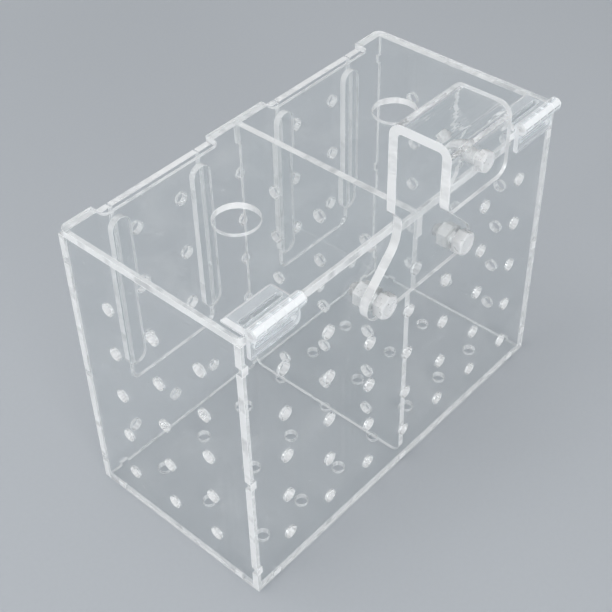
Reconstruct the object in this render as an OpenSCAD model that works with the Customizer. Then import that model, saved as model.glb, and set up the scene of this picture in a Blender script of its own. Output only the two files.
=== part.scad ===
// Hang-on fish breeding box: a laser-cut acrylic tank insert with a hinged lid, a drop-in
// divider, two lift-up gates and a bent hanger that clamps over the rim of an aquarium.
//
// X runs along the long walls, Y from the hanger side to the gate side, Z up. The origin lies on
// the underside of the floor, below the middle of the part's overall box.

/* [Box] */
// Outside length of the box, along X
box_length = 200; // [180:5:260]
// Outside depth of the box, along Y
box_depth = 100; // [90:5:140]
// Height of the four walls, without the lid
wall_height = 147; // [140:1:200]
// Thickness of the acrylic sheet that the panels are cut from
sheet = 3; // [2.5:0.5:4]

/* [Water holes] */
// Diameter of the water holes
hole_d = 6; // [3:0.5:7]
// Distance between neighbouring columns of holes
hole_column_pitch = 26; // [20:1:27]
// Distance between neighbouring rows of holes in a wall
hole_row_pitch = 25; // [18:1:26]
// Height of the lowest row above the underside of the floor
hole_first_row = 20; // [15:1:22]
// Number of rows of holes in a wall
hole_rows = 5; // [3:1:5]
// Distance between the rows of holes in the floor
floor_row_pitch = 30; // [20:1:32]

/* [Panel tabs] */
// Width of the locating tabs that join the panels
tab_w = 4; // [3:0.5:8]
// Height of the lowest wall tab
tab_low_z = 13; // [8:1:15]
// Distance of the highest wall tab below the top edge of the walls
tab_top_drop = 13; // [9:1:15]
// Distance of the outer floor tabs from the corners of the box
floor_tab_inset = 12; // [8:1:16]

/* [Lid] */
// Thickness of the lid
lid_t = 3; // [2.5:0.5:4]
// Radius of the lid's corners
lid_corner_r = 4; // [1:0.5:6]
// Gap between the lid's hinge edge and the plane of the hanger wall
lid_back_gap = 0.3; // [0.2:0.1:0.6]
// Diameter of the two feeding holes
feed_hole_d = 20; // [12:1:30]
// Length of the recess over each gate
recess_l = 65; // [62:1:70]
// Depth of the recess over each gate
recess_d = 8; // [7.5:0.5:12]
// Radius of the recess's inner corners
recess_r = 2.5; // [1:0.5:3]

/* [Divider] */
// Thickness of the divider
divider_t = 3; // [2:0.5:4]
// Gap between the divider's edges and the walls and floor
divider_gap = 0.5; // [0.3:0.1:1]
// Height of the ears that hang in the notches of the long walls
ear_h = 10; // [6:1:14]
// Gap on each side of an ear in its notch
ear_gap = 0.3; // [0.2:0.1:0.6]
// Radius of the divider's lower corners
divider_r = 5; // [2:1:10]

/* [Gates] */
// Width of a gate
gate_w = 48.5; // [44:0.5:50]
// Height of the sill that a gate stands on
gate_sill_z = 48; // [46:1:60]
// Radius of a gate's lower corners
gate_r = 4.5; // [3:0.5:8]
// Gap between a gate and the sides of its window
gate_gap = 1; // [0.5:0.1:1.5]
// Distance between the two columns of holes in a gate
gate_hole_pitch = 26; // [16:1:27]
// Height of a gate's lowest holes above the sill
gate_hole_rise = 19; // [12:1:22]
// Distance between the rows of holes in a gate
gate_row_pitch = 30; // [20:1:32]
// Number of rows of holes in a gate
gate_rows = 3; // [2:1:3]
// Width of a runner strip
runner_w = 10; // [8:0.5:12]
// Length of a runner strip
runner_l = 80; // [60:1:84]
// Thickness of a runner strip
runner_t = 3; // [2:0.5:3.5]
// How far a runner reaches over the wall beside the gate
runner_lap = 3; // [2:0.5:4]
// Height of a runner's lower end above the sill
runner_rise = 12; // [8:1:13]

/* [Hinges] */
// Distance of the first hinge's leaves from the left end of the lid
hinge_left_inset = 3; // [1:0.5:6]
// Distance of the second hinge's leaves from the right end of the lid
hinge_right_inset = 4.5; // [2:0.5:12]
// Length of the hinge leaves
leaf_l = 26.5; // [22:0.5:36]
// Thickness of the hinge leaves
leaf_t = 2; // [1.5:0.25:2.25]
// Reach of the upper leaf over the lid
lid_leaf_reach = 12.5; // [10:0.5:16]
// Reach of the lower leaf below the top of the lid
wall_leaf_drop = 10; // [7:1:14]
// Distance of the pin's axis above the lid and in front of the wall
hinge_offset = 2.5; // [2.3:0.1:2.7]
// Outside diameter of the knuckles
knuckle_d = 6; // [5.5:0.25:6.25]
// Number of knuckles on one hinge
knuckles = 5; // [3:2:7]
// Gap between neighbouring knuckles
knuckle_gap = 0.2; // [0.1:0.05:0.4]
// Diameter of the hinge pin
pin_d = 3; // [2:0.25:3.5]
// Length of the pin's domed head
pin_head_l = 1; // [1:0.25:2.5]
// Radius of the corner of a leaf next to the pin's head
leaf_corner_r = 3; // [1:0.5:4]
// Width of the bevel around the top of the upper leaf
leaf_bevel_w = 1.6; // [0.5:0.1:2]
// Depth of the bevel around the top of the upper leaf
leaf_bevel_h = 1; // [0.3:0.1:1.2]
// Width of the long slot in a leaf
leaf_slot_w = 3; // [1:0.2:3.2]
// Distance of the slot from the ends of its leaf
leaf_slot_inset = 2.2; // [2:0.2:5]
// Distance of the slot in the upper leaf from the knuckles
leaf_slot_gap = 3; // [2:0.25:3.5]

/* [Hanger] */
// Thickness of the hanger's sheet
hanger_t = 4; // [3:0.5:5]
// Width of the bent strip
strip_w = 37; // [32:1:44]
// Width of the neck between the flange and the strip
neck_w = 28; // [22:1:30]
// Clear gap between the two legs, for the rim of the aquarium
hook_gap = 20; // [16:1:30]
// Height of the hanger above the lid
hook_rise = 51; // [42:1:60]
// Length of the outer leg, from the top of the hanger
outer_leg_l = 30.5; // [26:0.5:36]
// Inside radius of the bends
bend_r = 2; // [1:0.5:4]
// Radius of the outer leg's lower corners
outer_leg_r = 5; // [3:0.5:8]
// Margin of the flange around its screws
flange_margin = 8; // [7:0.5:9]
// Height of the neck's shoulder above the lid
shoulder_rise = 5; // [3:0.5:8]
// Height of the sloping step from the neck to the strip
shoulder_h = 5; // [3:0.5:8]
// Height of the neck's corners above the flange screws
flange_rise = 24; // [18:1:26]
// Radius of the fillet between the neck and the flange
neck_fillet_r = 16; // [4:1:18]
// Radius of the fillet between the neck and its shoulder
shoulder_fillet_r = 5; // [2:0.5:6]

/* [Fasteners] */
// Outside diameter of the screws' thread
thread_d = 5.9; // [2.9:0.1:6.9]
// Diameter of the clamp screw's hole, and of the screw holes in the flange
screw_hole_d = 6; // [3:0.1:7]
// Width across the flats of the flange screws and their nuts
hex_af = 10; // [8:0.5:11]
// Height of a flange screw's head
head_h = 5; // [3:0.5:6]
// Height of a nut
nut_h = 5; // [3:0.5:6]
// Length of the flange screws under the head
bolt_l = 16; // [14:1:20]
// Width across the flats of the clamp screw's head
clamp_af = 8; // [7.5:0.5:10]
// Height of the clamp screw's head
clamp_head_h = 3.5; // [3:0.5:5]
// Length of the clamp screw under the head
clamp_l = 18; // [14:1:20]
// Height of the clamp screw's axis below the top of the hanger
clamp_drop = 14.5; // [12:0.5:16]

/* [Hidden] */
$fn = 48;

cut = 1;                                    // how far a cutting tool runs past a face
film = 0.05;                                // film of cement or air between flush faces
sunk = 1;                                   // how deep joined shapes of one piece overlap
half_l = box_length / 2;
half_d = box_depth / 2;
lid_z = wall_height + film;                 // underside of the lid
lid_top_z = lid_z + lid_t;
inner_l = box_length - 2 * sheet;
inner_d = box_depth - 2 * sheet;

// Holes. The columns are counted from the middle of each panel.
long_columns = 2 * floor((half_l - hole_column_pitch / 2) / hole_column_pitch) + 1;
end_columns = 2 * floor((half_d - hole_column_pitch / 2) / hole_column_pitch) + 1;
floor_rows = 2 * floor((half_d - floor_row_pitch / 2) / floor_row_pitch) + 1;
long_xs = centred(long_columns, hole_column_pitch);
end_ys = centred(end_columns, hole_column_pitch);
floor_ys = centred(floor_rows, floor_row_pitch);
row_zs = [for (i = [0 : hole_rows - 1]) hole_first_row + i * hole_row_pitch];

// Tabs
tab_high_z = wall_height - tab_top_drop;
tab_zs = [tab_low_z, (tab_low_z + tab_high_z) / 2 - tab_w, tab_high_z];
floor_tab_xs = [-half_l + floor_tab_inset, 0, half_l - floor_tab_inset];
floor_tab_ys = [-half_d + floor_tab_inset, half_d - floor_tab_inset];

// Gates and their windows, and the feeding holes, in the middle of each half
gate_x = box_length / 4;
feed_hole_x = box_length / 4;
window_w = gate_w + 2 * gate_gap;
window_r = max(gate_r - gate_gap / 2, gate_gap);
window_bridge = 1;                          // least wall between a window and a hole
gate_hole_zs = [for (i = [0 : gate_rows - 1]) gate_sill_z + gate_hole_rise + i * gate_row_pitch];
runner_x = window_w / 2 + runner_lap - runner_w / 2;
runner_z = gate_sill_z + runner_rise;
gate_side_y = half_d;
runner_y = half_d - sheet - film;

// Hinges
hinge_y = -half_d - hinge_offset;
hinge_z = lid_top_z + hinge_offset;
knuckle_r = knuckle_d / 2;
knuckle_pitch = leaf_l / knuckles;
knuckle_clear = 0.25;                       // gap around a knuckle of the other leaf
pin_clear = 0.05;                           // radial running clearance of the pin
left_hinge_x = -half_l + hinge_left_inset;
right_hinge_x = half_l - hinge_right_inset - leaf_l;

// Hanger
hanger_back_y = -half_d - film;             // face that lies on the hanger wall
hanger_y = hanger_back_y - hanger_t;        // outer face of the flange and the inner leg
outer_leg_y = hanger_y - hook_gap - hanger_t;
hook_top_z = lid_top_z + hook_rise;
bend_outer_r = bend_r + hanger_t;
flange_screw_x = hole_column_pitch;
flange_screw_z = row_zs[hole_rows - 1];
neck_z = flange_screw_z + flange_rise;
shoulder_z = lid_top_z + shoulder_rise;
clamp_z = hook_top_z - clamp_drop;
clamp_head_y = outer_leg_y - film - clamp_head_h;

// The origin is under the middle of the overall box, which the clamp screw's head ends.
origin_y = (clamp_head_y + half_d) / 2;

function centred(count, pitch) = [for (i = [0 : count - 1]) (i - (count - 1) / 2) * pitch];

// ---------------------------------------------------------------- shared shapes

module placed() {
    translate([0, -origin_y, 0]) children();
}

module acrylic() {
    color([0.86, 0.93, 0.95, 0.35]) children();
}

module nylon() {
    color([0.93, 0.93, 0.90]) children();
}

// Flat outline in X and Z, given thickness t towards -Y from the plane y
module upright(y, t) {
    translate([0, y, 0]) rotate([90, 0, 0]) linear_extrude(t) children();
}

// Flat outline in Y and Z, given thickness t towards +X from the plane x
module crosswise(x, t) {
    translate([x, 0, 0]) rotate([90, 0, 90]) linear_extrude(t) children();
}

module box_between(low, high) {
    translate(low) cube(high - low);
}

// Rectangle from low to high with its four corners rounded
module rounded_rect(low, high, r) {
    translate([low[0] + r, low[1]]) square([high[0] - low[0] - 2 * r, high[1] - low[1]]);
    translate([low[0], low[1] + r]) square([high[0] - low[0], high[1] - low[1] - 2 * r]);
    for (x = [low[0] + r, high[0] - r], y = [low[1] + r, high[1] - r]) translate([x, y]) circle(r);
}

// Rectangle from low to high with only its two lower corners rounded
module rounded_foot(low, high, r) {
    translate([low[0] + r, low[1]]) square([high[0] - low[0] - 2 * r, high[1] - low[1]]);
    translate([low[0], low[1] + r]) square([high[0] - low[0], high[1] - low[1] - r]);
    for (x = [low[0] + r, high[0] - r]) translate([x, low[1] + r]) circle(r);
}

// Round-ended strip of width w that reaches from low to high, its middle line along one axis
module stadium(low, high, w) {
    along = (high - low) / norm(high - low);
    side = [along[1], -along[0]] * w / 2;
    first = low + along * w / 2;
    last = high - along * w / 2;
    polygon([first + side, last + side, last - side, first - side]);
    for (c = [first, last]) translate(c) circle(d = w);
}

module hole_grid(us, vs, d) {
    for (u = us, v = vs) translate([u, v]) circle(d = d);
}

module hex(af, h) {
    cylinder(d = af / cos(30), h = h, $fn = 6);
}

// ---------------------------------------------------------------- panels

// Notch for a tab, in a panel's upright edge at u or in its lower edge, with a film around the tab
module side_notch(u, z) {
    translate([u, z]) square([2 * (sheet + film), tab_w + 2 * film], center = true);
}

module foot_notch(u) {
    translate([u, 0]) square([tab_w + 2 * film, 2 * (sheet + film)], center = true);
}

// Outline of a long wall: tab notches at its ends and foot, and the divider's notch in its top
module long_wall_outline() {
    difference() {
        translate([-half_l, 0]) square([box_length, wall_height]);
        for (u = [-half_l, half_l], z = tab_zs) side_notch(u, z);
        for (x = floor_tab_xs) foot_notch(x);
        translate([-divider_t / 2 - ear_gap, wall_height - ear_h])
            square([divider_t + 2 * ear_gap, ear_h + cut]);
    }
}

module end_wall_outline() {
    difference() {
        union() {
            translate([-inner_d / 2 + film, 0]) square([inner_d - 2 * film, wall_height]);
            for (z = tab_zs) translate([-half_d, z - tab_w / 2]) square([box_depth, tab_w]);
        }
        for (y = floor_tab_ys) foot_notch(y);
        hole_grid(end_ys, row_zs, hole_d);
    }
}

module window_outline() {
    rounded_foot([-window_w / 2, gate_sill_z], [window_w / 2, wall_height + cut], window_r);
}

// A hole of the gate wall is left out where it would run into a window.
function in_window(x, z) =
    z > gate_sill_z - hole_d && abs(abs(x) - gate_x) < window_w / 2 + hole_d / 2 + window_bridge;

module hanger_side_wall() {
    acrylic() placed() upright(-half_d + sheet, sheet) difference() {
        long_wall_outline();
        hole_grid(long_xs, row_zs, hole_d);
    }
}

module gate_side_wall() {
    acrylic() placed() upright(gate_side_y, sheet) difference() {
        long_wall_outline();
        for (x = long_xs, z = row_zs) if (!in_window(x, z)) translate([x, z]) circle(d = hole_d);
        for (side = [-1, 1]) translate([side * gate_x, 0]) window_outline();
    }
}

module left_end_wall() {
    acrylic() placed() crosswise(-half_l, sheet) end_wall_outline();
}

module right_end_wall() {
    acrylic() placed() crosswise(half_l - sheet, sheet) end_wall_outline();
}

module floor_panel() {
    acrylic() placed() linear_extrude(sheet) difference() {
        union() {
            square([inner_l - 2 * film, inner_d - 2 * film], center = true);
            for (x = floor_tab_xs) translate([x - tab_w / 2, -half_d]) square([tab_w, box_depth]);
            for (y = floor_tab_ys) translate([-half_l, y - tab_w / 2]) square([box_length, tab_w]);
        }
        hole_grid(long_xs, floor_ys, hole_d);
    }
}

// The lid is one plate. Its recesses let the gates and their runners rise past its front edge.
module lid() {
    acrylic() placed() translate([0, 0, lid_z]) linear_extrude(lid_t) difference() {
        rounded_rect([-half_l, -half_d + lid_back_gap], [half_l, half_d], lid_corner_r);
        for (side = [-1, 1]) translate([side * feed_hole_x, 0]) circle(d = feed_hole_d, $fn = 96);
        for (side = [-1, 1]) translate([side * gate_x, half_d]) rotate(180)
            rounded_rect([-recess_l / 2, -lid_t], [recess_l / 2, recess_d], recess_r);
    }
}

module divider() {
    acrylic() placed() crosswise(-divider_t / 2, divider_t) difference() {
        union() {
            rounded_foot([-inner_d / 2 + divider_gap, sheet + divider_gap],
                         [inner_d / 2 - divider_gap, wall_height], divider_r);
            translate([-half_d, wall_height - ear_h + film]) square([box_depth, ear_h - film]);
        }
        hole_grid(end_ys, row_zs, hole_d);
    }
}

// ---------------------------------------------------------------- gates

module gate(side) {
    acrylic() placed() translate([side * gate_x, 0, 0]) upright(gate_side_y, sheet) difference() {
        rounded_foot([-gate_w / 2, gate_sill_z + film], [gate_w / 2, wall_height], gate_r);
        hole_grid([-gate_hole_pitch / 2, gate_hole_pitch / 2], gate_hole_zs, hole_d);
    }
}

// A runner is glued to the inner face of the gate and laps over the wall beside it.
module runner(side, edge) {
    acrylic() placed() translate([side * gate_x + edge * runner_x, 0, 0]) upright(runner_y, runner_t)
        stadium([0, runner_z], [0, runner_z + runner_l], runner_w);
}

module left_gate() { gate(-1); }
module left_gate_outer_runner() { runner(-1, -1); }
module left_gate_inner_runner() { runner(-1, 1); }
module right_gate() { gate(1); }
module right_gate_inner_runner() { runner(1, -1); }
module right_gate_outer_runner() { runner(1, 1); }

// ---------------------------------------------------------------- hinges

module along_pin(x, l, d) {
    translate([x, hinge_y, hinge_z]) rotate([0, 90, 0]) cylinder(d = d, h = l);
}

// Knuckles number first, first + 2 and so on, counted from 0 at the hinge's left end
module knuckle_row(x, first) {
    for (i = [first : 2 : knuckles - 1])
        along_pin(x + i * knuckle_pitch + (i > 0 ? knuckle_gap / 2 : 0),
                  knuckle_pitch - (i > 0 ? knuckle_gap / 2 : 0)
                      - (i < knuckles - 1 ? knuckle_gap / 2 : 0), knuckle_d);
}

// Space for the other leaf's knuckles, cut out of a leaf between the two given corners
module knuckle_space(x, first, low, high) {
    for (i = [first : 2 : knuckles - 1])
        box_between([x + i * knuckle_pitch - knuckle_gap / 2, low[0], low[1]],
                    [x + (i + 1) * knuckle_pitch + knuckle_gap / 2, high[0], high[1]]);
}

// Outline of a leaf of depth reach, from its first corner, with the far corner at the head rounded
module leaf_outline(reach) {
    square([leaf_l - leaf_corner_r, reach]);
    square([leaf_l, reach - leaf_corner_r]);
    translate([leaf_l - leaf_corner_r, reach - leaf_corner_r]) circle(leaf_corner_r);
}

// The part of the upper leaf above its bevels, to be cut away at its left, right and far edges
module lid_leaf_bevels(x, reach_y, top_z) {
    slope = leaf_bevel_h / leaf_bevel_w;
    wedge = [[0, -leaf_bevel_h], [cut, -leaf_bevel_h - cut * slope], [cut, cut],
             [-leaf_bevel_w - cut / slope, cut]];
    translate([0, reach_y, top_z]) crosswise(x - cut, leaf_l + 2 * cut) polygon(wedge);
    translate([x + leaf_l, 0, top_z]) upright(reach_y + cut, lid_leaf_reach + cut) polygon(wedge);
    translate([x, 0, top_z]) upright(reach_y + cut, lid_leaf_reach + cut)
        mirror([1, 0]) polygon(wedge);
}

module lid_leaf(x) {
    near_y = hinge_y + sunk;
    reach_y = -half_d + lid_leaf_reach;
    slot_y = hinge_y + knuckle_r + leaf_slot_gap + leaf_slot_w / 2;
    acrylic() placed() difference() {
        union() {
            difference() {
                translate([0, 0, lid_top_z + film]) linear_extrude(leaf_t) difference() {
                    translate([x, near_y]) leaf_outline(reach_y - near_y);
                    stadium([x + leaf_slot_inset, slot_y], [x + leaf_l - leaf_slot_inset, slot_y],
                            leaf_slot_w);
                }
                lid_leaf_bevels(x, reach_y, lid_top_z + film + leaf_t);
            }
            knuckle_row(x, 1);
        }
        knuckle_space(x, 0, [hinge_y - knuckle_d, lid_top_z - cut],
                      [hinge_y + knuckle_r + knuckle_clear, hinge_z + knuckle_d]);
        along_pin(x - cut, leaf_l + 2 * cut, pin_d + 2 * pin_clear);
    }
}

module wall_leaf(x) {
    foot_z = lid_top_z - wall_leaf_drop;
    slot_z = (foot_z + hinge_z - knuckle_r) / 2;
    acrylic() placed() difference() {
        union() {
            upright(-half_d - film, leaf_t) difference() {
                translate([x, hinge_z - sunk]) mirror([0, 1]) leaf_outline(hinge_z - sunk - foot_z);
                stadium([x + leaf_slot_inset, slot_z], [x + leaf_l - leaf_slot_inset, slot_z],
                        leaf_slot_w);
            }
            knuckle_row(x, 0);
        }
        knuckle_space(x, 1, [hinge_y - knuckle_d, hinge_z - knuckle_r - knuckle_clear],
                      [-half_d + cut, hinge_z + knuckle_d]);
        along_pin(x - cut, leaf_l + 2 * cut, pin_d + 2 * pin_clear);
    }
}

// The pin turns freely in the knuckles, and its domed head closes the right-hand end of the hinge.
module hinge_pin(x) {
    nylon() placed() {
        along_pin(x, leaf_l + pin_head_l / 2, pin_d);
        translate([x + leaf_l + film, hinge_y, hinge_z]) rotate([0, 90, 0])
            rotate_extrude() intersection() {
                scale([1, pin_head_l / knuckle_r]) circle(knuckle_r);
                square(knuckle_r);
            }
    }
}

module left_hinge_lid_leaf() { lid_leaf(left_hinge_x); }
module left_hinge_wall_leaf() { wall_leaf(left_hinge_x); }
module left_hinge_pin() { hinge_pin(left_hinge_x); }
module right_hinge_lid_leaf() { lid_leaf(right_hinge_x); }
module right_hinge_wall_leaf() { wall_leaf(right_hinge_x); }
module right_hinge_pin() { hinge_pin(right_hinge_x); }

// ---------------------------------------------------------------- hanger

// Point where the straight edge from the neck's corner meets the round corner of the flange,
// on the side away from the middle
function flange_tangent() =
    let (v = [neck_w / 2 - flange_screw_x, neck_z - flange_screw_z],
         d = norm(v),
         a = atan2(v[1], v[0]) - acos(flange_margin / d))
    [flange_screw_x + flange_margin * cos(a), flange_screw_z + flange_margin * sin(a)];

// Fillet of radius r in the open corner c, between edges that run off along u and v
module fillet(c, u, v, r) {
    half = acos(u * v) / 2;
    middle = (u + v) / norm(u + v);
    centre = c + middle * r / sin(half);
    difference() {
        polygon([c - middle * sunk, c + u * r / tan(half), centre, c + v * r / tan(half)]);
        translate(centre) circle(r);
    }
}

// The fillets on the side of the neck away from the middle
module neck_fillets() {
    corner = [neck_w / 2, neck_z];
    flare = flange_tangent() - corner;
    shoulder = [strip_w / 2 - neck_w / 2, shoulder_h];
    fillet(corner, [0, 1], flare / norm(flare), neck_fillet_r);
    fillet([neck_w / 2, shoulder_z], [0, -1], shoulder / norm(shoulder), shoulder_fillet_r);
}

// Flange, neck and inner leg, as one flat outline in X and Z
module flange_outline() {
    t = flange_tangent();
    foot_z = flange_screw_z - flange_margin;
    bend_z = hook_top_z - bend_outer_r;
    polygon([[-neck_w / 2, neck_z], [-t[0], t[1]], [-flange_screw_x, flange_screw_z],
             [-flange_screw_x, foot_z], [flange_screw_x, foot_z], [flange_screw_x, flange_screw_z],
             [t[0], t[1]], [neck_w / 2, neck_z], [neck_w / 2, shoulder_z],
             [strip_w / 2, shoulder_z + shoulder_h], [strip_w / 2, bend_z],
             [-strip_w / 2, bend_z], [-strip_w / 2, shoulder_z + shoulder_h],
             [-neck_w / 2, shoulder_z]]);
    for (x = [-flange_screw_x, flange_screw_x]) translate([x, flange_screw_z]) circle(flange_margin);
    neck_fillets();
    mirror([1, 0]) neck_fillets();
}

// Quarter bend around the centre c, from the outside radius to the inside radius
module bend(c, turn) {
    translate(c) rotate(turn) intersection() {
        difference() {
            circle(bend_outer_r);
            circle(bend_r);
        }
        square(bend_outer_r);
    }
}

// Top of the hook, in Y and Z: two bends and the flat between them
module hook_profile() {
    low_z = hook_top_z - bend_outer_r;
    bend([hanger_back_y - bend_outer_r, low_z], 0);
    bend([outer_leg_y + bend_outer_r, low_z], 90);
    translate([outer_leg_y + bend_outer_r, hook_top_z - hanger_t])
        square([hanger_back_y - outer_leg_y - 2 * bend_outer_r, hanger_t]);
}

module hanger() {
    acrylic() placed() difference() {
        union() {
            upright(hanger_back_y, hanger_t) flange_outline();
            crosswise(-strip_w / 2, strip_w) hook_profile();
            upright(outer_leg_y + hanger_t, hanger_t)
                rounded_foot([-strip_w / 2, hook_top_z - outer_leg_l],
                             [strip_w / 2, hook_top_z - bend_outer_r], outer_leg_r);
        }
        for (x = [-flange_screw_x, flange_screw_x]) translate([x, -half_d + cut, flange_screw_z])
            rotate([90, 0, 0]) cylinder(d = screw_hole_d, h = hanger_t + 2 * cut);
        translate([0, outer_leg_y + hanger_t + cut, clamp_z])
            rotate([90, 0, 0]) cylinder(d = screw_hole_d, h = hanger_t + 2 * cut);
    }
}

// ---------------------------------------------------------------- fasteners

// Hexagon screw whose head seats on the plane y and whose shank of length l runs towards +Y
module hex_screw(x, y, z, af, h, l) {
    nylon() placed() translate([x, y - film, z]) rotate([90, 30, 0]) {
        hex(af, h);
        translate([0, 0, -l]) cylinder(d = thread_d, h = l);
    }
}

// Nut whose near face seats on the plane y, with a clear bore for the screw
module hex_nut(x, y, z) {
    nylon() placed() translate([x, y + film, z]) rotate([-90, 30, 0]) difference() {
        hex(hex_af, nut_h);
        translate([0, 0, -cut]) cylinder(d = screw_hole_d, h = nut_h + 2 * cut);
    }
}

module flange_screw(x) { hex_screw(x, hanger_y, flange_screw_z, hex_af, head_h, bolt_l); }
module left_flange_screw() { flange_screw(-flange_screw_x); }
module right_flange_screw() { flange_screw(flange_screw_x); }
module left_flange_nut() { hex_nut(-flange_screw_x, -half_d + sheet, flange_screw_z); }
module right_flange_nut() { hex_nut(flange_screw_x, -half_d + sheet, flange_screw_z); }

// The clamp screw runs in the tapped hole of the outer leg, towards the inner leg.
module clamp_screw() { hex_screw(0, outer_leg_y, clamp_z, clamp_af, clamp_head_h, clamp_l); }

hanger_side_wall();
gate_side_wall();
left_end_wall();
right_end_wall();
floor_panel();
lid();
divider();
left_gate();
left_gate_outer_runner();
left_gate_inner_runner();
right_gate();
right_gate_inner_runner();
right_gate_outer_runner();
left_hinge_lid_leaf();
left_hinge_wall_leaf();
left_hinge_pin();
right_hinge_lid_leaf();
right_hinge_wall_leaf();
right_hinge_pin();
hanger();
left_flange_screw();
right_flange_screw();
left_flange_nut();
right_flange_nut();
clamp_screw();
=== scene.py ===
# %% [markdown]
# # A clear acrylic breeding box
# The box hangs inside an aquarium and keeps young fish apart. Nearly all of it is one material,
# clear acrylic sheet, so the lesson is mostly about one thing: how to make a clear plate read as
# a solid object. The panels come ready from the construction model. This file gives them their
# finish, adds the small moulded hardware, and sets up the floor, the light and the camera.

# %% Load the construction model
import math

import bpy
from mathutils import Matrix, Vector


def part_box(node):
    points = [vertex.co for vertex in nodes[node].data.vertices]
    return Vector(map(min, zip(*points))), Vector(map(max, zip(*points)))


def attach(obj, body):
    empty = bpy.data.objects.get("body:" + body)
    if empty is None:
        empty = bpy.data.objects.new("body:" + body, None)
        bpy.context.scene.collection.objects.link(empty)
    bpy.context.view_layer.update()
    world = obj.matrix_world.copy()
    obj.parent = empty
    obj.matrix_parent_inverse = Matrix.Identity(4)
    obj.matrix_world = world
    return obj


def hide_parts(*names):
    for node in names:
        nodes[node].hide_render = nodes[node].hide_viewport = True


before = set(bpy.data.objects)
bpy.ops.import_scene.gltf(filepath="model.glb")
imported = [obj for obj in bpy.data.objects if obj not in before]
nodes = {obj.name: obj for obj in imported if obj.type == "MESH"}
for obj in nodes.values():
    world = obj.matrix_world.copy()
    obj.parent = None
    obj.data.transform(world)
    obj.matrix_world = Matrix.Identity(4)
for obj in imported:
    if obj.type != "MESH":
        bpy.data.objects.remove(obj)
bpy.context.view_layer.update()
millimetre = 0.001
print("pieces loaded:", len(nodes))

# %% [markdown]
# ## The camera
# A small object looks best from a little distance through a long lens, because that keeps upright
# edges nearly upright. The camera stands at a corner of the box and looks down at it. Its
# direction is worked out from an azimuth and an elevation, and then it is rolled a little.

# %% Set up the camera
azimuth, elevation, roll = (math.radians(a) for a in (-46.044, 41.541, -2.368))
backward = Vector((
    math.sin(azimuth) * math.cos(elevation),
    -math.cos(azimuth) * math.cos(elevation),
    math.sin(elevation),
))
level = (-backward).cross(Vector((0, 0, 1))).normalized()
upright = level.cross(-backward)
right = level * math.cos(roll) + upright * math.sin(roll)
up = upright * math.cos(roll) - level * math.sin(roll)

bpy.ops.object.camera_add()
camera = bpy.context.object
camera.name = "studio_camera"
turn = Matrix((right, up, backward)).transposed().to_4x4()
standpoint = (-0.307756, -0.257500, 0.444002)
camera.matrix_world = Matrix.Translation(standpoint) @ turn
camera.data.sensor_width = 36
camera.data.lens = 71.0
camera.data.shift_x = 0.0349
camera.data.shift_y = -0.0277
camera.data.clip_start = 0.01
bpy.context.scene.camera = camera
print("camera at", [round(c, 3) for c in camera.location])

# %% [markdown]
# ## Small helpers for materials
# Colours are written as the hex values that a colour picker shows, and Blender's shaders work in
# linear light, so one function converts them. Another adds a node, sets its options and fills or
# links its inputs, which keeps each material short enough to read. An input takes a number, a
# colour, a node's output, or a node, which stands for its own first output.

# %% Colours and nodes
def linear(hex_colour):
    """An sRGB hex colour as linear red, green, blue and alpha."""
    channels = [int(hex_colour[i:i + 2], 16) / 255 for i in (1, 3, 5)]
    curve = [c / 12.92 if c <= 0.04045 else ((c + 0.055) / 1.055) ** 2.4 for c in channels]
    return (*curve, 1.0)


def add_node(tree, kind, inputs=(), **options):
    """Adds a node, sets its options, and fills or links its inputs, by name or in their order."""
    node = tree.nodes.new(kind)
    for name, value in options.items():
        setattr(node, name, value)
    for name, value in inputs.items() if isinstance(inputs, dict) else enumerate(inputs):
        if isinstance(value, bpy.types.Node):
            value = value.outputs[0]
        if isinstance(value, bpy.types.NodeSocket):
            tree.links.new(value, node.inputs[name])
        else:
            node.inputs[name].default_value = value
    return node


def new_material(name):
    """A material with no nodes in it yet."""
    material = bpy.data.materials.new(name)
    material.use_nodes = True
    material.node_tree.nodes.clear()
    return material, material.node_tree


print("white is", linear("#ffffff"))

# %% [markdown]
# ## Cast acrylic sheet
# The panels are cut by laser from cast acrylic (PMMA), 3 mm thick, with a refractive index of
# 1.49. Its two faces keep the polish of the casting mould: clear, with a little handling haze and
# dust. Its edges are another surface altogether. The laser melts them, which leaves fine upright
# ripples and a bright, frosted look, and they are what makes a clear box visible.
#
# A plate's faces and edges are told apart by their direction. A face points along the plate's
# thin axis, and everything else was cut, the walls of the holes included. So one number, from 0
# on a face to 1 on a cut edge, steers the roughness, the clarity and the ripples.

# %% Tell faces from cut edges
def surface_direction(tree):
    """How much the surface faces along each of the piece's own three axes, either way."""
    normal = add_node(tree, "ShaderNodeTexCoord").outputs["Normal"]
    size = add_node(tree, "ShaderNodeVectorMath", [normal], operation="ABSOLUTE")
    return add_node(tree, "ShaderNodeSeparateXYZ", [size]).outputs


def place_on_piece(tree):
    """Where the surface is, along each of the three axes."""
    place = add_node(tree, "ShaderNodeTexCoord").outputs["Object"]
    return add_node(tree, "ShaderNodeSeparateXYZ", [place]).outputs


def cut_of_plate(tree, thin_axis):
    """1 on the cut edges of a flat plate and 0 on its faces."""
    facing = surface_direction(tree)[thin_axis]
    on_face, on_cut = 0.97, 0.85
    return add_node(tree, "ShaderNodeMapRange", [facing, on_face, on_cut])


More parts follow.
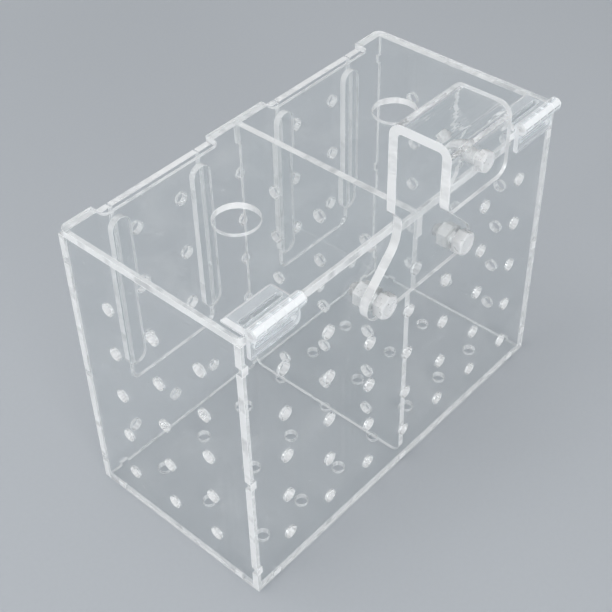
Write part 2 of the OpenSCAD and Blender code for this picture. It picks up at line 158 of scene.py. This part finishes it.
def cut_of_hanger(tree, thin_axis):
    """The same for the bent sheet, whose edges face sideways, or up and down below its bends."""
    assert thin_axis == "Y", "the hanger's legs are thin along Y"
    bends_from = 194 * millimetre
    facing = surface_direction(tree)
    sideways = add_node(tree, "ShaderNodeMapRange", [facing["X"], 0.1, 0.3])
    upward = add_node(tree, "ShaderNodeMapRange", [facing["Z"], 0.3, 0.5])
    height = place_on_piece(tree)["Z"]
    low = add_node(tree, "ShaderNodeMath", [height, bends_from], operation="LESS_THAN")
    upward_and_low = add_node(tree, "ShaderNodeMath", [upward, low], operation="MULTIPLY")
    return add_node(tree, "ShaderNodeMath", [sideways, upward_and_low], operation="MAXIMUM")


print("cut edges are found by direction")

# %% [markdown]
# Two places on a cut look different from the rest. A round cut, as in a hole, is one, and it is
# told by its direction too: it faces between the sheet's two wide axes. The other is the arris,
# the sharp line where a face and a cut meet. It is the whitest of all, because the melt is drawn
# up there. The Bevel node finds it. It gives the direction that the surface would have if its
# edges were rounded, and that differs from the true direction only beside an edge.

# %% Find round cuts and sharp edges
def round_wall(tree, thin_axis):
    """1 where a cut is round, as in a hole, and so faces between the sheet's two wide axes."""
    facing = surface_direction(tree)
    wide = [facing[axis] for axis in "XYZ" if axis != thin_axis]
    slant = add_node(tree, "ShaderNodeMath", wide, operation="MINIMUM")
    straight, round_enough = 0.05, 0.3
    return add_node(tree, "ShaderNodeMapRange", [slant, straight, round_enough])


def arris_line(tree, width):
    """1 within a given distance of a sharp edge, where a rounded surface would turn away."""
    rounded = add_node(tree, "ShaderNodeBevel", [width], samples=4)
    true = add_node(tree, "ShaderNodeNewGeometry").outputs["Normal"]
    alike = add_node(tree, "ShaderNodeVectorMath", [rounded, true], operation="DOT_PRODUCT")
    alike = add_node(tree, "ShaderNodeMath", [alike.outputs["Value"]], operation="ABSOLUTE")
    flat, turned = 0.99, 0.9
    return add_node(tree, "ShaderNodeMapRange", [alike, flat, turned])


print("sharp edges are found by a rounded direction")

# %% [markdown]
# The surface isn't quite flat anywhere. A laser moves in small steps and leaves fine ripples down
# the cut, straight through the sheet. Real ones are 0.1 or 0.2 mm wide, and they are drawn at
# 0.6 mm so that they show. The hanger was bent over a hot wire, which leaves long waves beside
# each bend. Both are far too low to model, so they only tilt the light: a bump.

# %% Ripples and waves
ripple_width = 0.6 * millimetre
wave_width = 2 * millimetre
wave_height = 4.0  # as a multiple of a ripple's
relief_depth = 0.05 * millimetre


def relief(tree, across, cut, bent_above):
    """The height of the surface, from the ripples of a cut and the waves beside a bend."""
    ripples = add_node(tree, "ShaderNodeTexNoise", {
        "Vector": across, "Scale": 1 / ripple_width, "Detail": 2.0,
    })
    height = add_node(tree, "ShaderNodeMath", [ripples, cut], operation="MULTIPLY")
    if bent_above is not None:
        # The noise is drawn out a hundred times along the bend.
        place = add_node(tree, "ShaderNodeTexCoord").outputs["Object"]
        along = add_node(tree, "ShaderNodeMapping", {"Vector": place, "Scale": (0.01, 1, 1)})
        waves = add_node(tree, "ShaderNodeTexNoise", {
            "Vector": along, "Scale": 1 / wave_width, "Detail": 1.0,
        })
        fade_in = [place_on_piece(tree)["Z"], bent_above, bent_above + wave_width]
        near_bend = add_node(tree, "ShaderNodeMapRange", fade_in)
        strength = add_node(tree, "ShaderNodeMath", [near_bend, wave_height], operation="MULTIPLY")
        height = add_node(
            tree, "ShaderNodeMath", [waves, strength, height], operation="MULTIPLY_ADD")
    return add_node(tree, "ShaderNodeBump", {
        "Height": height, "Distance": relief_depth, "Strength": 0.6,
    })


print("one ripple every", round(ripple_width / millimetre, 1), "mm")

# %% [markdown]
# The walls and the floor are joined with solvent cement. It creeps a few millimetres out of the
# seam and dries to a white bloom. The seams run along the corners of the box, so how near one is
# can be worked out from the box of the floor panel.

# %% Find the cemented seams
def near_seam(tree, thin_axis, reach):
    """1 at the corners of the box where two cemented panels meet, and 0 further in than reach."""
    low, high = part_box("floor_panel")
    place = place_on_piece(tree)
    near = {"Z": add_node(tree, "ShaderNodeMapRange", [place["Z"], reach, 0.0])}
    for axis, first, last in (("X", low.x, high.x), ("Y", low.y, high.y)):
        middle, half = (first + last) / 2, (last - first) / 2
        offset = add_node(tree, "ShaderNodeMath", [place[axis], middle], operation="SUBTRACT")
        distance = add_node(tree, "ShaderNodeMath", [offset], operation="ABSOLUTE")
        near[axis] = add_node(tree, "ShaderNodeMapRange", [distance, half - reach, half])
    pair = [near[axis] for axis in "ZXY" if axis != thin_axis]
    return add_node(tree, "ShaderNodeMath", pair, operation="MAXIMUM")


low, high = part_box("floor_panel")
print("cemented seams around", [round((b - a) / millimetre) for a, b in zip(low, high)], "mm")

# %% [markdown]
# Plastic sheet is never perfectly clean. Hands leave a haze in soft patches of about 30 mm, and
# dust settles where the haze is. The specks are drawn about 0.3 mm wide and 5 mm apart, which is
# coarser than real dust, so that they show at all. The bloom of the cement is patchy, because the
# cement was run in by hand.

# %% Haze, dust and cement
haze_size, haze_roughness, haze_white = 30 * millimetre, 0.05, 0.05
dust_spacing, dust_white = 5 * millimetre, 0.6
cement_size, cement_reach, cement_white = 4 * millimetre, 5 * millimetre, 0.3


def soiling(tree, thin_axis, cemented):
    """The roughness of a face, and the share of it that dust, haze and cement make white."""
    place = add_node(tree, "ShaderNodeTexCoord").outputs["Object"]
    haze = add_node(tree, "ShaderNodeTexNoise", {
        "Vector": place, "Scale": 1 / haze_size, "Detail": 5.0, "Roughness": 0.65,
    })
    dull = add_node(tree, "ShaderNodeMapRange", [haze, 0.45, 0.8])
    roughness = add_node(tree, "ShaderNodeMath", [dull, haze_roughness], operation="MULTIPLY")

    specks = add_node(tree, "ShaderNodeTexVoronoi", {
        "Vector": place, "Scale": 1 / dust_spacing,
    }).outputs["Distance"]
    speck = add_node(tree, "ShaderNodeMapRange", [specks, 0.06, 0.04])
    settled = add_node(tree, "ShaderNodeMapRange", [haze, 0.45, 0.55])
    dust = add_node(tree, "ShaderNodeMath", [speck, settled], operation="MULTIPLY")
    dust = add_node(tree, "ShaderNodeMath", [dust, dust_white], operation="MULTIPLY")
    film = add_node(tree, "ShaderNodeMapRange", [haze, 0.5, 0.75])
    white = add_node(tree, "ShaderNodeMath", [film, haze_white, dust], operation="MULTIPLY_ADD")

    if cemented:
        creep = add_node(tree, "ShaderNodeTexNoise", {
            "Vector": place, "Scale": 1 / cement_size, "Detail": 6.0, "Roughness": 0.7,
        })
        patches = add_node(tree, "ShaderNodeMapRange", [creep, 0.5, 0.75])
        seam = near_seam(tree, thin_axis, cement_reach)
        bloom = add_node(tree, "ShaderNodeMath", [seam, patches], operation="MULTIPLY")
        bloom = [bloom, cement_white, white]
        white = add_node(tree, "ShaderNodeMath", bloom, operation="MULTIPLY_ADD")
    return roughness, white


print("cement reaches", round(cement_reach / millimetre), "mm from a seam")

# %% [markdown]
# The shader itself is clear plastic with real refraction. Two kinds of light are let straight
# through instead. One is light that only passes on its way to the floor, because waiting for it to
# find its way by refraction would take far too long to render. The other has already met fourteen
# surfaces and is caught inside a plate, where it would die out and leave a black patch.

# %% Let some light straight through
surfaces_met = 14.0


def let_through(tree, plastic, tint, *kinds):
    """Clear plastic that some kinds of ray, and light caught inside it, don't stop at."""
    passing = add_node(tree, "ShaderNodeBsdfTransparent", {"Color": tint})
    ray = add_node(tree, "ShaderNodeLightPath").outputs
    caught = [ray["Ray Depth"], surfaces_met]
    straight = add_node(tree, "ShaderNodeMath", caught, operation="GREATER_THAN")
    for kind in kinds:
        straight = add_node(tree, "ShaderNodeMath", [straight, ray[kind]], operation="MAXIMUM")
    mixed = add_node(tree, "ShaderNodeMixShader", [straight, plastic, passing])
    add_node(tree, "ShaderNodeOutputMaterial", {"Surface": mixed})


print("light is let go after", surfaces_met, "surfaces")

# %% [markdown]
# Everything comes together here. The melt of a cut is milky, with clearer stretches about 11 mm
# apart. The beam goes more slowly round a small hole, which polishes its wall, so a hole is clearer
# than a straight edge. The runner strips and the lid are cut all round at one speed.

# %% Make the acrylic
cut_roughness = 0.16
arris_width = 0.45 * millimetre
arris_white = 0.95
melt_spacing, melt_white = 11 * millimetre, 0.3
straight_milk, hole_milk, hanger_milk = 0.44, 0.2, 0.42


def cast_acrylic(name, find_cut, thin_axis, milk=straight_milk, round_milk=hole_milk,
                 bent_above=None, cemented=False):
    """Cast acrylic with polished faces, laser-cut edges, and perhaps bends or cemented seams."""
    material, tree = new_material(name)
    place = add_node(tree, "ShaderNodeTexCoord").outputs["Object"]
    cut = find_cut(tree, thin_axis)

    # What a cut has on it runs straight through the sheet, so it hardly changes that way.
    stretch = {"X": (0.02, 1, 1), "Y": (1, 0.02, 1), "Z": (1, 1, 0.02)}[thin_axis]
    across = add_node(tree, "ShaderNodeMapping", {"Vector": place, "Scale": stretch})
    melt = add_node(tree, "ShaderNodeTexNoise", {
        "Vector": across, "Scale": 1 / melt_spacing, "Detail": 1.5,
    })
    melt = add_node(tree, "ShaderNodeMapRange", [melt, 0.36, 0.46])
    least = add_node(tree, "ShaderNodeMix", {
        "Factor": round_wall(tree, thin_axis), "A": milk, "B": round_milk,
    }).outputs["Result"]
    milky = add_node(tree, "ShaderNodeMath", [melt, melt_white, least], operation="MULTIPLY_ADD")

    face_roughness, face_white = soiling(tree, thin_axis, cemented)
    roughness = add_node(tree, "ShaderNodeMix", {
        "Factor": cut, "A": face_roughness, "B": cut_roughness,
    }).outputs["Result"]
    white = add_node(tree, "ShaderNodeMix", {
        "Factor": cut, "A": face_white, "B": milky,
    }).outputs["Result"]
    white = add_node(tree, "ShaderNodeMix", {
        "Factor": arris_line(tree, arris_width), "A": white, "B": arris_white,
    }).outputs["Result"]
    clear = add_node(tree, "ShaderNodeMath", [1.0, white], operation="SUBTRACT", use_clamp=True)

    plastic = add_node(tree, "ShaderNodeBsdfPrincipled", {
        "Base Color": linear("#fdfefe"), "Roughness": roughness, "IOR": 1.49,
        "Normal": relief(tree, across, cut, bent_above), "Transmission Weight": clear,
    })
    tint = add_node(tree, "ShaderNodeMix", {
        "Factor": cut, "A": linear("#fafafa"), "B": linear("#d9dcde"),
    }, data_type="RGBA").outputs["Result"]
    let_through(tree, plastic, tint, "Is Shadow Ray", "Is Diffuse Ray")
    return material


upright_sheet = cast_acrylic("cast_acrylic_upright", cut_of_plate, "Y")
crosswise_sheet = cast_acrylic("cast_acrylic_crosswise", cut_of_plate, "X")
level_sheet = cast_acrylic(
    "cast_acrylic_level", cut_of_plate, "Z", round_milk=straight_milk)
runner_sheet = cast_acrylic(
    "cast_acrylic_runner", cut_of_plate, "Y", round_milk=straight_milk)
long_wall_sheet = cast_acrylic("cemented_acrylic_long_wall", cut_of_plate, "Y", cemented=True)
end_wall_sheet = cast_acrylic("cemented_acrylic_end_wall", cut_of_plate, "X", cemented=True)
floor_sheet = cast_acrylic("cemented_acrylic_floor", cut_of_plate, "Z", cemented=True)
bent_sheet = cast_acrylic(
    "line_bent_acrylic", cut_of_hanger, "Y", milk=hanger_milk, round_milk=hanger_milk,
    bent_above=192 * millimetre)
print("acrylic finishes:", [m.name for m in bpy.data.materials if "acrylic" in m.name])

# %% [markdown]
# Each construction piece keeps its shape and only gets its material. Which acrylic it takes
# depends on how the plate stands in the box, and on whether it is cemented to its neighbours. The
# lid, the divider and the gates come off, so they have no cement on them.

# %% Give the plates their acrylic
def dress(material, *names):
    """Puts one material on every slot of some construction pieces."""
    for name in names:
        for slot in nodes[name].material_slots:
            slot.material = material


runners = [name for name in nodes if name.endswith("_runner")]
dress(long_wall_sheet, "hanger_side_wall", "gate_side_wall")
dress(end_wall_sheet, "left_end_wall", "right_end_wall")
dress(floor_sheet, "floor_panel")
dress(upright_sheet, "left_gate", "right_gate")
dress(runner_sheet, *runners)
dress(crosswise_sheet, "divider")
dress(level_sheet, "lid")
dress(bent_sheet, "hanger")
print("runners:", runners)

# %% [markdown]
# ## Moulded hinge leaves
# The hinges are bought-in parts, injection moulded in clear polycarbonate. A moulded piece has no
# cut edges. It is a little hazy all over, because the steel of its mould isn't as smooth as glass,
# and it shows faint flow marks. Its flat faces are the clearest, because that part of the mould can
# be polished best. Polycarbonate bends light more than acrylic does: 1.585.

# %% Make the polycarbonate
curved_clear, flat_gain, rim_clear = 0.33, 0.55, 0.1
polycarbonate, tree = new_material("moulded_polycarbonate")
flow_marks = add_node(tree, "ShaderNodeTexNoise", {
    "Vector": add_node(tree, "ShaderNodeTexCoord").outputs["Object"],
    "Scale": 1 / (2.5 * millimetre), "Detail": 3.0, "Distortion": 0.8,
})
mould_haze = add_node(tree, "ShaderNodeMapRange", [flow_marks, 0.3, 0.7, 0.08, 0.18])
mould_grain = add_node(tree, "ShaderNodeBump", {
    "Height": flow_marks, "Distance": 0.1 * millimetre, "Strength": 0.3,
})
facing = surface_direction(tree)
flat = add_node(tree, "ShaderNodeMath", [facing["Y"], facing["Z"]], operation="MAXIMUM")
flat = add_node(tree, "ShaderNodeMapRange", [flat, 0.93, 0.99])
clear = [flat, flat_gain, curved_clear]
clear = add_node(tree, "ShaderNodeMath", clear, operation="MULTIPLY_ADD")
clear = add_node(tree, "ShaderNodeMix", {
    "Factor": arris_line(tree, 0.3 * millimetre), "A": clear, "B": rim_clear,
}).outputs["Result"]
moulded = add_node(tree, "ShaderNodeBsdfPrincipled", {
    "Base Color": linear("#fbfcfd"), "Roughness": mould_haze, "IOR": 1.585,
    "Transmission Weight": clear, "Normal": mould_grain,
})
let_through(tree, moulded, linear("#dfe4e6"), "Is Shadow Ray")

leaves = [name for name in nodes if name.endswith("_leaf")]
dress(polycarbonate, *leaves)
print("hinge leaves:", leaves)

# %% [markdown]
# ## Natural nylon
# The screws, nuts and hinge pins are moulded in natural PA66. It is a milky plastic that lets a
# little light in, with a satin surface, so it glows softly where it is thin.

# %% Make the nylon
nylon, tree = new_material("natural_nylon")
flow = add_node(tree, "ShaderNodeTexNoise", {
    "Vector": add_node(tree, "ShaderNodeTexCoord").outputs["Object"],
    "Scale": 1 / (3 * millimetre), "Detail": 4.0,
})
nylon_colour = add_node(tree, "ShaderNodeMix", {
    "Factor": flow, "A": linear("#fcfdfd"), "B": linear("#f0f2f3"),
}, data_type="RGBA").outputs["Result"]
nylon_roughness = add_node(tree, "ShaderNodeMapRange", [flow, 0.2, 0.8, 0.22, 0.38])
nylon_body = add_node(tree, "ShaderNodeBsdfPrincipled", {
    "Base Color": nylon_colour, "Roughness": nylon_roughness, "IOR": 1.53,
    "Transmission Weight": 0.25,
})
add_node(tree, "ShaderNodeOutputMaterial", {"Surface": nylon_body})

nylon_pieces = ["left_hinge_pin", "right_hinge_pin", "left_flange_nut", "right_flange_nut"]
dress(nylon, *nylon_pieces)
print("nylon pieces:", nylon_pieces)

# %% [markdown]
# ## Nylon screws with a real thread
# A hexagon screw is a hexagonal head, chamfered so that its corners don't catch, on a threaded
# shank. Both are modelled in edit mode, as by hand. An operator works on everything that is
# selected, so each step first selects only what it should change.

# %% Work on one piece at a time
def deselect():
    """Leaves nothing selected, so that the next operator acts only on what it should."""
    bpy.ops.object.select_all(action="DESELECT")


def apply(piece, kind, **options):
    """Adds a modifier to a piece and applies it."""
    modifier = piece.modifiers.new(kind.lower(), kind)
    for name, value in options.items():
        setattr(modifier, name, value)
    deselect()
    piece.select_set(True)
    bpy.context.view_layer.objects.active = piece
    bpy.ops.object.modifier_apply(modifier=modifier.name)


def select_faces(piece, wanted):
    """Opens a piece in edit mode with only the wanted faces selected."""
    deselect()
    piece.select_set(True)
    bpy.context.view_layer.objects.active = piece
    bpy.ops.object.mode_set(mode="EDIT")
    bpy.ops.mesh.select_mode(type="FACE")
    bpy.ops.mesh.select_all(action="DESELECT")
    bpy.ops.object.mode_set(mode="OBJECT")
    for face in piece.data.polygons:
        face.select = wanted(face)
    bpy.ops.object.mode_set(mode="EDIT")


print("ready to model in edit mode")

# %% [markdown]
# The thread is a helix: the outline of one ridge, drawn as a short line beside the axis, is swept
# round and up by one pitch per turn. M6 has a pitch of 1 mm. The rod runs on past both ends and is
# then cut off square, so that the thread doesn't just stop.

# %% Sweep a thread
pitch = 1.0 * millimetre
depth = 0.55 * pitch
overlap = 1.2 * millimetre


def threaded_rod(radius, length):
    """A threaded rod from just above the origin down to -length, along Z."""
    deselect()
    bpy.ops.mesh.primitive_plane_add(size=0.2 * millimetre)
    rod = bpy.context.object
    bpy.ops.object.mode_set(mode="EDIT")
    bpy.ops.mesh.select_mode(type="VERT")
    bpy.ops.mesh.select_all(action="SELECT")
    bpy.ops.mesh.merge(type="CENTER")
    bpy.ops.transform.translate(value=(radius - depth, 0, -length - 2 * pitch))

    # One ridge: up its flank, along its crest, down its other flank and along the root.
    ridge = [(depth, 0.38), (0, 0.14), (-depth, 0.38), (0, 0.10)]
    for outward, upward in ridge:
        step = (outward, 0, upward * pitch)
        bpy.ops.mesh.extrude_region_move(TRANSFORM_OT_translate={"value": step})
    bpy.ops.object.mode_set(mode="OBJECT")
    turns = round(length / pitch) + 4
    apply(rod, "SCREW", axis="Z", screw_offset=pitch, iterations=turns, steps=24, render_steps=24)
    bpy.ops.object.mode_set(mode="EDIT")
    bpy.ops.mesh.select_all(action="SELECT")
    bpy.ops.mesh.remove_doubles(threshold=0.001 * millimetre)
    for height, facing in ((overlap, 1), (-length, -1)):
        bpy.ops.mesh.select_all(action="SELECT")
        bpy.ops.mesh.bisect(
            plane_co=(0, 0, height), plane_no=(0, 0, facing), threshold=0.0001 * millimetre,
            use_fill=True, clear_outer=True)
    bpy.ops.mesh.select_all(action="SELECT")
    bpy.ops.mesh.normals_make_consistent(inside=False)
    bpy.ops.object.mode_set(mode="OBJECT")
    return rod


print("the thread is", round(depth / millimetre, 2), "mm deep")

# %% [markdown]
# The head starts as a six-sided cylinder, and cutting it with a cone gives the curved chamfers
# that a real one has. Its end gets a shallow dish, as moulded heads have, so that the plastic
# shrinks evenly.

# %% Shape a hexagonal head
chamfer = math.radians(30)


def hexagon_head(flats, height):
    """A chamfered hexagonal head that stands on the origin, with a shallow dish in its end."""
    corner = flats / 2 / math.cos(math.radians(30))
    deselect()
    bpy.ops.mesh.primitive_cylinder_add(
        vertices=6, radius=corner, depth=height, location=(0, 0, height / 2))
    head = bpy.context.object
    bpy.ops.object.transform_apply(location=True)

    # The cone falls away from a circle just inside the flats. It runs past the head at both ends,
    # and none of its 72 edges meets a corner of the hexagon.
    circle = 0.46 * flats
    past = 1 * millimetre
    spread = 1 / math.tan(chamfer)
    deselect()
    bpy.ops.mesh.primitive_cone_add(
        vertices=72, radius1=circle + (height + past) * spread, radius2=circle - past * spread,
        depth=height + 2 * past, location=(0, 0, height / 2), rotation=(0, 0, math.radians(2.5)))
    cone = bpy.context.object
    apply(head, "BOOLEAN", object=cone, operation="INTERSECT", solver="EXACT")
    bpy.data.objects.remove(cone)
    bpy.ops.object.mode_set(mode="EDIT")
    bpy.ops.mesh.select_mode(type="VERT")
    bpy.ops.mesh.select_all(action="SELECT")
    bpy.ops.mesh.remove_doubles(threshold=0.05 * millimetre)
    bpy.ops.object.mode_set(mode="OBJECT")

    select_faces(head, lambda face: face.normal.z > 0.99 and face.center.z > 0.9 * height)
    bpy.ops.mesh.inset(thickness=0.12 * flats)
    bpy.ops.mesh.inset(thickness=0.03 * flats, depth=-0.35 * millimetre)
    bpy.ops.object.mode_set(mode="OBJECT")
    apply(head, "BEVEL", width=0.15 * millimetre, segments=2, limit_method="ANGLE",
          angle_limit=math.radians(25))
    return head


print("chamfers fall away at", round(math.degrees(chamfer)), "degrees")

# %% [markdown]
# Each screw takes the place of a plain one in the construction model: same seat, same axis, same
# length. Its thread is measured over the crests. The head and the rod are joined into one closed
# mesh, which is then turned to point along the hole.

# %% Make the screws
thread_radius = 2.95 * millimetre


def nylon_screw(node_name, body, flats, head_height):
    """A screw that takes the place of a plain construction screw, head and tip where they were."""
    low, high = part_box(node_name)
    seat = low.y + head_height
    screw = hexagon_head(flats, head_height)
    rod = threaded_rod(thread_radius, high.y - seat)
    apply(screw, "BOOLEAN", object=rod, operation="UNION", solver="EXACT")
    bpy.data.objects.remove(rod)
    screw.name = node_name + "_threaded"
    axis = Vector(((low.x + high.x) / 2, seat, (low.z + high.z) / 2))
    screw.data.transform(Matrix.Translation(axis) @ Matrix.Rotation(math.radians(90), 4, "X"))
    deselect()
    screw.select_set(True)
    bpy.context.view_layer.objects.active = screw
    bpy.ops.object.shade_smooth_by_angle(angle=math.radians(30))
    screw.data.materials.clear()
    screw.data.materials.append(nylon)
    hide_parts(node_name)
    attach(screw, body)
    return screw


screws = [
    nylon_screw("left_flange_screw", "box", 10 * millimetre, 5 * millimetre),
    nylon_screw("right_flange_screw", "box", 10 * millimetre, 5 * millimetre),
    nylon_screw("clamp_screw", "clamp_screw_body", 8 * millimetre, 3.5 * millimetre),
]
for screw in screws:
    print(screw.name, len(screw.data.polygons), "faces")

# %% [markdown]
# ## Floor and backdrop
# Clear plastic shows what is around it, so it is lit like glassware. It stands on a pale matt
# floor that fades into a backdrop of one even colour. The backdrop is what the camera sees, and
# what it sees in the box, but it gives no light of its own.

# %% Lay the floor
backdrop_colour = linear("#b7bcc1")


def seen_ray(tree):
    """1 for the rays that carry the picture, straight from the camera or by way of the box."""
    ray = add_node(tree, "ShaderNodeLightPath").outputs
    by_box = [ray["Is Glossy Ray"], ray["Is Transmission Ray"]]
    by_box = add_node(tree, "ShaderNodeMath", by_box, operation="MAXIMUM")
    return add_node(tree, "ShaderNodeMath", [ray["Is Camera Ray"], by_box], operation="MAXIMUM")


deselect()
bpy.ops.mesh.primitive_plane_add(size=8, location=(0, 0, -0.3 * millimetre))
floor = bpy.context.object
floor.name = "studio_floor"
paper, tree = new_material("matt_paper")
place = add_node(tree, "ShaderNodeTexCoord").outputs["Object"]
grain = add_node(tree, "ShaderNodeTexNoise", {
    "Vector": place, "Scale": 1 / (2 * millimetre), "Detail": 3.0,
})
paper_colour = add_node(tree, "ShaderNodeMix", {
    "Factor": grain, "A": linear("#b5babf"), "B": linear("#b9bec3"),
}, data_type="RGBA").outputs["Result"]
paper_body = add_node(tree, "ShaderNodeBsdfPrincipled", {
    "Base Color": paper_colour, "Roughness": 0.9,
})
backdrop = add_node(tree, "ShaderNodeEmission", {"Color": backdrop_colour, "Strength": 1.0})
distance = add_node(tree, "ShaderNodeVectorMath", [place], operation="LENGTH").outputs["Value"]
far = add_node(tree, "ShaderNodeMapRange", [distance, 0.45, 1.3])
far_and_seen = add_node(tree, "ShaderNodeMath", [far, seen_ray(tree)], operation="MULTIPLY")
paper_seen = add_node(tree, "ShaderNodeMixShader", [far_and_seen, paper_body, backdrop])
add_node(tree, "ShaderNodeOutputMaterial", {"Surface": paper_seen})
floor.data.materials.append(paper)
print("floor laid", round(floor.dimensions.x, 1), "m wide")

# %% [markdown]
# ## Light
# The surroundings give a weak, even light that grows a little upwards, as in a room with a white
# ceiling. The camera sees the backdrop in their place.

# %% Light the surroundings
world = bpy.data.worlds.new("studio_surroundings")
world.use_nodes = True
bpy.context.scene.world = world
tree = world.node_tree
tree.nodes.clear()
sky = add_node(tree, "ShaderNodeTexCoord").outputs["Generated"]
height = add_node(tree, "ShaderNodeSeparateXYZ", [sky]).outputs["Z"]
brightness = add_node(tree, "ShaderNodeMapRange", [height, 0.0, 0.9, 0.15, 0.45])
surroundings = add_node(tree, "ShaderNodeBackground", {
    "Color": linear("#fbfcff"), "Strength": brightness,
})
backdrop = add_node(tree, "ShaderNodeBackground", {"Color": backdrop_colour, "Strength": 1.0})
shown_world = add_node(tree, "ShaderNodeMixShader", [seen_ray(tree), surroundings, backdrop])
add_node(tree, "ShaderNodeOutputWorld", {"Surface": shown_world})
print("surroundings:", world.name)

# %% [markdown]
# One soft lamp hangs overhead and one stands at the left. A third stands low beside the camera. It
# hardly reaches the floor, but it makes the milky cut edges of the near walls brighter than what is
# behind them. A polished lid would also mirror these lamps and turn white from some sides, so most
# of their light is kept out of reflections, as a polarising filter does. The rest gives the
# highlights. A softbox is brightest in its middle, so each lamp fades outwards.

# %% Light the box
def area_light(name, position, size, power):
    """An area light that faces the middle of the box, and fades out towards its rim."""
    bpy.ops.object.light_add(type="AREA", location=position)
    light = bpy.context.object
    light.name = name
    light.data.size = size
    light.data.energy = power
    light.visible_camera = False

    # A point on the lamp is given from 0 to 1 both ways, with the middle at one half.
    light.data.use_nodes = True
    tree = light.data.node_tree
    tree.nodes.clear()
    place = add_node(tree, "ShaderNodeNewGeometry").outputs["Parametric"]
    middle = (0.5, 0.5, 0.0)
    off_centre = add_node(tree, "ShaderNodeVectorMath", [place, middle], operation="DISTANCE")
    glow = add_node(tree, "ShaderNodeMapRange", [off_centre.outputs["Value"], 0.5, 0.15])
    emission = add_node(tree, "ShaderNodeEmission", {"Strength": glow})
    add_node(tree, "ShaderNodeOutputLight", {"Surface": emission})

    middle_of_box = Vector((0, 0, 0.08))
    toward = middle_of_box - Vector(position)
    light.rotation_euler = toward.to_track_quat("-Z", "Y").to_euler()
    return light


def softbox(name, position, size, power, sheen=0.2):
    """A lamp that lights the box in full, but shows only in part in its reflections."""
    filtered = area_light(name, position, size, power * (1 - sheen))
    filtered.visible_glossy = False
    area_light(name + "_sheen", position, size, power * sheen)


softbox("overhead_softbox", (-0.35, 0.25, 1.5), 1.1, 27, sheen=0.6)
softbox("side_softbox", (-2.2, 0.7, 1.0), 1.2, 43)
softbox("low_softbox", (-1.0, -2.4, 0.9), 1.2, 124)

# %% [markdown]
# ## Settings
# A ray crosses a dozen acrylic surfaces on its way through the box, so the renderer is allowed
# more steps than usual. Colours are shown as they are, without a film look.

# %% Finish
scene = bpy.context.scene
scene.view_settings.view_transform = "Standard"
most_steps = 32
scene.cycles.max_bounces = most_steps
scene.cycles.glossy_bounces = most_steps
scene.cycles.transmission_bounces = most_steps
scene.cycles.transparent_max_bounces = most_steps
